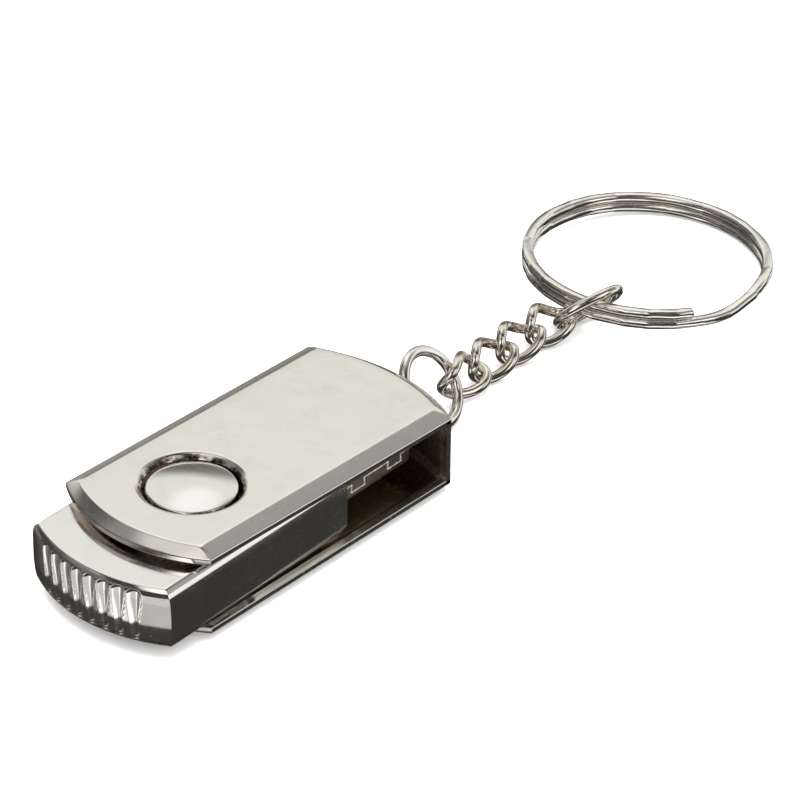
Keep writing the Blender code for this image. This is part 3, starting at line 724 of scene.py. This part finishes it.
class Graph:
    """Makes nodes in a material's or a world's node tree. A value is a number, a colour or a socket."""

    def __init__(self, tree):
        self.tree = tree
        tree.nodes.clear()

    def add(self, kind, settings=None, **inputs):
        made = self.tree.nodes.new(kind)
        for key, value in (settings or {}).items():
            setattr(made, key, value)
        for key, value in inputs.items():
            numbered = key[0] == "i" and key[1:].isdigit()
            self.give(made.inputs[int(key[1:]) if numbered else key.replace("_", " ")], value)
        return made

    def give(self, socket, value):
        if isinstance(value, bpy.types.NodeSocket):
            self.tree.links.new(value, socket)
        else:
            socket.default_value = value

    def math(self, operation, a, b=0.0, clamp=False):
        return self.add("ShaderNodeMath", {"operation": operation, "use_clamp": clamp}, i0=a, i1=b).outputs[0]

    def noise(self, vector, scale, detail=3.0, roughness=0.55, distortion=0.0):
        made = self.add("ShaderNodeTexNoise", None, Vector=vector, Scale=scale, Detail=detail, Roughness=roughness)
        made.inputs["Distortion"].default_value = distortion
        return made.outputs["Fac"]

    def remap(self, value, low, high, to_low=0.0, to_high=1.0):
        made = self.add("ShaderNodeMapRange", {"interpolation_type": "SMOOTHSTEP"}, Value=value)
        for key, number in (("From Min", low), ("From Max", high), ("To Min", to_low), ("To Max", to_high)):
            made.inputs[key].default_value = number
        return made.outputs["Result"]

    def mix(self, share, first, second):
        made = self.add("ShaderNodeMix", {"data_type": "RGBA"})
        for index, value in ((0, share), (6, first), (7, second)):
            self.give(made.inputs[index], value)
        return made.outputs[2]

    def towards(self, direction, axis, full, gone):
        """1 where a direction is within one angle of the axis, and 0 beyond another, in degrees."""
        dot = self.add("ShaderNodeVectorMath", {"operation": "DOT_PRODUCT"}, i0=direction)
        dot.inputs[1].default_value = Vector(axis).normalized()
        low, high = math.cos(math.radians(gone)), math.cos(math.radians(full))
        return self.remap(dot.outputs["Value"], low, high)

    def scratches(self, vector, turn, stretch=40.0, scale=900.0, width=0.009, sparse=0.56):
        """Fine lines that run one way, here and there."""
        lined = self.add("ShaderNodeMapping", {"vector_type": "TEXTURE"}, Vector=vector)
        lined.inputs["Rotation"].default_value = turn
        lined.inputs["Scale"].default_value = (stretch, 1.0, 1.0)
        lines = self.noise(lined.outputs[0], scale * 4, detail=2.0, distortion=0.3)
        centred = self.math("ABSOLUTE", self.math("SUBTRACT", lines, 0.5))
        thin = self.remap(centred, width, 0.0)
        patches = self.remap(self.noise(lined.outputs[0], scale, detail=1.0), sparse, sparse + 0.08)
        return self.math("MULTIPLY", thin, patches)


def rgba(colour):
    return (*colour, 1.0)


def start_material(name):
    """A new material, its graph and the place on the piece that its textures read."""
    material = bpy.data.materials.new(name)
    material.use_nodes = True
    graph = Graph(material.node_tree)
    return material, graph, graph.add("ShaderNodeTexCoord").outputs["Object"]


def end_material(graph, base, rough, relief, metallic):
    """The surface shader, from sockets for its colour, roughness and normal."""
    surface = {"Base_Color": base, "Roughness": rough, "Normal": relief.outputs[0]}
    shader = graph.add("ShaderNodeBsdfPrincipled", None, Metallic=metallic, **surface)
    graph.add("ShaderNodeOutputMaterial", None, Surface=shader.outputs[0])


def metal(name, colour, tarnish, roughness, spread=0.06, scratch=0.5, ripple=0.1, grain=0.0):
    """Plated or bare metal: cloudy roughness, crossing scratches, patches of tarnish and a slight ripple."""
    material, graph, place = start_material(name)
    cloudy = graph.noise(place, 160.0, detail=5.0)
    fine = graph.noise(place, 2600.0, detail=3.0)
    lines = graph.scratches(place, (0.2, 0.75, 0.5))
    for turn in ((0.1, -0.5, -0.35), (0.4, 0.2, 1.9)):
        lines = graph.math("MAXIMUM", lines, graph.scratches(place, turn, stretch=30.0, scale=700.0))
    stain = graph.remap(graph.noise(place, 330.0, detail=6.0, distortion=0.5), 0.52, 0.72)
    base = graph.mix(graph.math("MULTIPLY", stain, 0.25), rgba(colour), rgba(tarnish))
    worn = graph.math("MULTIPLY", lines, 0.4 * scratch)
    base = graph.mix(worn, base, rgba([channel * 0.72 for channel in colour]))
    # Painted shade: a dark brown ring in the gap round the pivot buttons.
    base = painted_gap_shade(graph, place, base)
    rough = graph.remap(cloudy, 0.35, 0.65, roughness, roughness + spread)
    rough = graph.math("ADD", rough, graph.math("MULTIPLY", fine, spread * 0.5))
    rough = graph.math("ADD", rough, worn, clamp=True)
    if grain:
        brushed = graph.add("ShaderNodeMapping", None, Vector=place)
        brushed.inputs["Scale"].default_value = (0.05, 1.0, 1.0)
        streaks = graph.noise(brushed.outputs[0], 9000.0, detail=4.0, roughness=0.7)
        rough = graph.math("ADD", rough, graph.math("MULTIPLY", streaks, grain))
        fine = graph.math("ADD", fine, graph.math("MULTIPLY", streaks, 1.5))
    cuts = graph.math("MULTIPLY", lines, -0.6 * scratch)
    height = graph.math("ADD", cuts, graph.math("MULTIPLY", fine, 0.12))
    small = graph.add("ShaderNodeBump", None, Height=height, Strength=0.35, Distance=0.00001)
    wavy = graph.noise(place, 120.0, detail=1.0)
    large = graph.add("ShaderNodeBump", None, Height=wavy, Strength=1.0, Distance=0.0001 * ripple)
    graph.tree.links.new(large.outputs[0], small.inputs["Normal"])
    end_material(graph, base, rough, small, 1.0)
    return material


def painted_gap_shade(graph, place, base):
    """Painted shade in the groove round the pivot buttons: a dark brown ring, broken up by specks."""
    flat = graph.add("ShaderNodeVectorMath", {"operation": "SUBTRACT"}, i0=place)
    flat.inputs[1].default_value = SWIVEL
    split = graph.add("ShaderNodeSeparateXYZ", None, Vector=flat.outputs[0])
    squares = [graph.math("POWER", graph.math("ABSOLUTE", split.outputs[axis]), 2.0) for axis in ("X", "Y")]
    away = graph.math("POWER", graph.math("ADD", *squares), 0.5)
    inner, outer = (BUTTON_RADIUS - 0.06) * MM, (HOLE_MOUTH_RADIUS - 0.1) * MM
    beyond, within = graph.remap(away, inner - 0.00005, inner), graph.remap(away, outer, outer - 0.0003)
    ring = graph.math("MULTIPLY", beyond, within)
    specks = graph.remap(graph.noise(place, 1500.0, detail=3.0), 0.35, 0.55, 0.25, 1.0)
    # The dark brown of the painted shade in the gap.
    return graph.mix(graph.math("MULTIPLY", ring, specks), base, (0.09, 0.055, 0.03, 1.0))


def dull(name, colour, second, roughness, scale=900.0, spread=0.15, bump=0.3, specks=0.0, metallic=0.0):
    """Plastic, ceramic or coated board: mottled colour, uneven gloss, fine bumps and dust."""
    material, graph, place = start_material(name)
    mottle = graph.noise(place, scale, detail=6.0)
    broad = graph.noise(place, scale / 6, detail=3.0)
    base = graph.mix(graph.remap(mottle, 0.4, 0.62), rgba(colour), rgba(second))
    dust = graph.remap(graph.noise(place, scale * 5, detail=2.0), 0.68, 0.74)
    base = graph.mix(graph.math("MULTIPLY", dust, 0.25 + specks), base, (0.5, 0.48, 0.44, 1.0))
    rough = graph.remap(broad, 0.35, 0.65, roughness - spread / 2, roughness + spread / 2)
    rough = graph.math("ADD", rough, graph.math("MULTIPLY", dust, 0.2), clamp=True)
    lines = graph.scratches(place, (0.0, 0.0, 0.9), scale=1100.0)
    rough = graph.math("ADD", rough, graph.math("MULTIPLY", lines, 0.15), clamp=True)
    height = graph.math("SUBTRACT", mottle, graph.math("MULTIPLY", lines, 0.4))
    relief = graph.add("ShaderNodeBump", None, Height=height, Strength=bump, Distance=0.00002)
    end_material(graph, base, rough, relief, metallic)
    return material


def paint_electronics():
    """New finishes for the parts inside the drive, which keep their shapes."""
    finishes = {
        "board_carrier": dull("dark_carrier", (0.10, 0.10, 0.11), (0.14, 0.14, 0.15), 0.55),
        "circuit_board": dull("solder_mask", (0.02, 0.15, 0.06), (0.03, 0.22, 0.09), 0.35, scale=700.0),
        "flash_memory_chip": dull("chip_resin", (0.018, 0.018, 0.02), (0.03, 0.03, 0.032), 0.5),
        "crystal": metal("crystal_can", (0.7, 0.7, 0.68), (0.4, 0.38, 0.35), 0.2),
        "capacitor": dull("capacitor_ceramic", (0.42, 0.29, 0.18), (0.52, 0.38, 0.25), 0.4, scale=2400.0),
        "resistor": dull("resistor_glaze", (0.02, 0.02, 0.022), (0.05, 0.05, 0.05), 0.35, scale=2400.0),
        "status_led": dull("led_resin", (0.85, 0.84, 0.76), (0.75, 0.74, 0.68), 0.25, scale=2000.0),
    }
    finishes["controller_chip"] = finishes["flash_memory_chip"]
    for name, node in FRAME["nodes"].items():
        kind = name.rstrip("_0123456789") if name not in finishes else name
        if kind in finishes:
            node.data.materials.clear()
            node.data.materials.append(finishes[kind])


# ---------------------------------------------------------------- studio


def make_floor():
    """A wide disc of white paper just below the object."""
    material, graph, place = start_material("paper_floor")
    fibres = graph.noise(place, 900.0, detail=5.0)
    base = graph.mix(graph.remap(fibres, 0.3, 0.7), (0.94, 0.94, 0.94, 1), (0.96, 0.96, 0.96, 1))
    rough = graph.remap(graph.noise(place, 60.0), 0.3, 0.7, 0.85, 0.95)
    relief = graph.add("ShaderNodeBump", None, Height=fibres, Strength=0.1, Distance=0.00002)
    end_material(graph, base, rough, relief, 0.0)
    builder = bmesh.new()
    bmesh.ops.create_circle(builder, cap_ends=True, segments=96, radius=1.6)
    mesh = bpy.data.meshes.new("floor")
    builder.to_mesh(mesh)
    builder.free()
    mesh.materials.append(material)
    floor = bpy.data.objects.new("floor", mesh)
    floor.location = (0.03, 0.0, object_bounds()[0][2] - 0.00002)
    floor.visible_glossy = False
    bpy.context.scene.collection.objects.link(floor)


# What the metal mirrors, as direction, full within and gone beyond these angles, and brightness.
# Each one covers those before it.
MIRRORED = (
    ((-0.75, -0.35, 0.56), 8, 22, (1.3, 1.27, 1.22)),
    ((0.05, -0.90, 0.43), 8, 20, (1.2, 1.17, 1.12)),
    ((0.624, 0.553, 0.552), 24, 62, (0.79, 0.79, 0.735)),
    ((0.76, 0.64, 0.08), 10, 27, (0.16, 0.145, 0.13)),
    ((0.40, 0.34, 0.85), 6, 20, (1.0, 0.99, 0.96)),
    ((0.62, -0.78, 0.0), 7, 24, (0.92, 0.91, 0.88)),
    ((0.62, -0.64, 0.45), 7, 16, (0.36, 0.35, 0.33)),
    ((0.62, -0.13, 0.77), 8, 20, (0.32, 0.31, 0.295)),
    ((-0.28, 0.553, 0.788), 8, 20, (0.24, 0.23, 0.215)),
    ((-0.34, 0.22, 0.92), 7, 18, (0.66, 0.65, 0.62)),
    ((-0.10, 0.80, 0.60), 8, 18, (0.09, 0.085, 0.08)),
    ((0.62, -0.553, -0.56), 7, 26, (0.036, 0.035, 0.032)),
)


# What breaks up the paper's bright band, in the same terms.
PAPER_SHADES = (
    ((-0.62, 0.553, -0.552), 9, 24, (0.22, 0.21, 0.195)),
    ((-0.05, 0.83, -0.552), 18, 34, (0.10, 0.095, 0.088)),
    ((-0.80, -0.22, -0.552), 12, 24, (0.62, 0.61, 0.57)),
)


def make_world():
    """A white surround to look at and to light the floor, and a studio of panels for the metal to mirror."""
    world = bpy.data.worlds.new("studio")
    bpy.context.scene.world = world
    world.use_nodes = True
    graph = Graph(world.node_tree)
    direction = graph.add("ShaderNodeTexCoord").outputs["Generated"]
    clutter = graph.noise(direction, 1.9, detail=1.0, distortion=0.5)
    dark, bright = rgba((0.035, 0.030, 0.026)), rgba((0.85, 0.82, 0.78))
    colour = graph.mix(graph.remap(clutter, 0.5, 0.62), dark, bright)
    colour = paper_glow(graph, direction, colour)
    for axis, full, gone, shade in MIRRORED:
        colour = graph.mix(graph.towards(direction, axis, full, gone), colour, rgba(shade))
    ray = graph.add("ShaderNodeLightPath")
    mirrored = graph.add("ShaderNodeBackground", None, Color=colour, Strength=1.0)
    white = graph.add("ShaderNodeBackground", None, Color=(1, 1, 1, 1), Strength=1.6)
    chosen = graph.add("ShaderNodeMixShader")
    graph.tree.links.new(ray.outputs["Is Glossy Ray"], chosen.inputs[0])
    graph.tree.links.new(white.outputs[0], chosen.inputs[1])
    graph.tree.links.new(mirrored.outputs[0], chosen.inputs[2])
    output = graph.add("ShaderNodeOutputWorld")
    graph.tree.links.new(chosen.outputs[0], output.inputs["Surface"])


def paper_glow(graph, direction, colour):
    """The lit paper in front of the grip, mirrored by its upright face: a bright band, dark above and below."""
    split = graph.add("ShaderNodeSeparateXYZ", None, Vector=direction)
    level = split.outputs["Z"]
    ahead = graph.remap(split.outputs["X"], 0.15, -0.1)
    dark = rgba((0.045, 0.042, 0.038))
    above = graph.math("MULTIPLY", ahead, graph.remap(level, 0.58, 0.48))
    colour = graph.mix(graph.math("MULTIPLY", above, 0.85), colour, dark)
    band = rgba((1.35, 1.33, 1.29))
    for axis, full, gone, shade in PAPER_SHADES:
        band = graph.mix(graph.towards(direction, axis, full, gone), band, rgba(shade))
    upper = graph.math("MULTIPLY", ahead, graph.remap(level, -0.34, -0.44))
    colour = graph.mix(upper, colour, band)
    lower = graph.math("MULTIPLY", ahead, graph.remap(level, -0.575, -0.63))
    return graph.mix(lower, colour, dark)


def make_lights():
    for name, place, size, power in (
        ("overhead_softbox", (0.05, 0.05, 0.6), 0.5, 3.5),
        ("side_softbox", (-0.3, -0.45, 0.35), 0.35, 1.2),
    ):
        light = bpy.data.lights.new(name, "AREA")
        light.size = size
        light.energy = power
        obj = bpy.data.objects.new(name, light)
        obj.location = place
        obj.rotation_euler = (VIEW_TARGET - Vector(place)).to_track_quat("-Z", "Y").to_euler()
        obj.visible_glossy = False
        bpy.context.scene.collection.objects.link(obj)


def make_camera():
    camera = bpy.data.cameras.new("view")
    camera.lens = VIEW_LENS
    camera.sensor_width = 36
    camera.clip_start = 0.01
    obj = bpy.data.objects.new("view", camera)
    obj.matrix_world = VIEW_MATRIX
    bpy.context.scene.collection.objects.link(obj)
    bpy.context.scene.camera = obj


def main():
    cover_nickel = metal("brushed_cover_nickel", (0.95, 0.93, 0.89), (0.80, 0.76, 0.70), 0.10, ripple=0.5)
    # Painted shade: the cover's inside is a darker brown copy of its outer metal.
    inside_shade_colours = ("painted_shade_cover_inside", (0.42, 0.35, 0.27), (0.18, 0.13, 0.08))
    painted_shade_inside = metal(*inside_shade_colours, 0.10, spread=0.10, scratch=1.0)
    grip_chrome = metal("grip_chrome", (0.97, 0.96, 0.93), (0.85, 0.82, 0.77), 0.08, scratch=0.4, ripple=0.8)
    tray_chrome = metal("tray_chrome_visible", (0.90, 0.87, 0.82), (0.6, 0.55, 0.48), 0.12)
    button_chrome = metal("button_chrome_visible", (0.93, 0.92, 0.88), (0.8, 0.76, 0.7), 0.09, ripple=1.6)
    plug_steel = metal("plug_brushed_steel", (0.74, 0.68, 0.58), (0.45, 0.38, 0.30), 0.24, scratch=1.2, grain=0.14)
    ring_nickel = metal("hammered_ring_nickel", (0.99, 0.96, 0.92), (0.62, 0.54, 0.45), 0.07, scratch=0.15)
    chain_nickel = metal("chain_nickel_visible", (0.90, 0.85, 0.78), (0.52, 0.44, 0.36), 0.08, scratch=0.15)
    # Painted reflection: a lighter golden copy of the plug's steel for its underside, which shows bright in the
    # cover's bottom plate.
    underside_painted_glow = dull("plug_underside_painted_glow", (0.78, 0.62, 0.40), (0.62, 0.48, 0.30), 0.45, scale=2200.0, metallic=0.45)
    plug_seam = dull("plug_seam_edge", (0.52, 0.45, 0.36), (0.30, 0.25, 0.19), 0.4, scale=2500.0)
    plastic = dull("tongue_plastic", (0.02, 0.02, 0.024), (0.035, 0.035, 0.04), 0.5)
    gold = metal("contact_gold_visible", (0.95, 0.74, 0.36), (0.7, 0.45, 0.2), 0.2)
    make_cover((cover_nickel, painted_shade_inside))
    make_body(grip_chrome, tray_chrome)
    make_buttons(button_chrome)
    make_plug((plug_steel, underside_painted_glow), plug_seam, plastic, gold)
    make_lanyard_ring(ring_nickel)
    make_links(chain_nickel)
    make_split_ring(ring_nickel)
    paint_electronics()
    make_floor()
    make_world()
    make_lights()
    make_camera()
    bpy.context.scene.view_settings.view_transform = "Standard"


main()
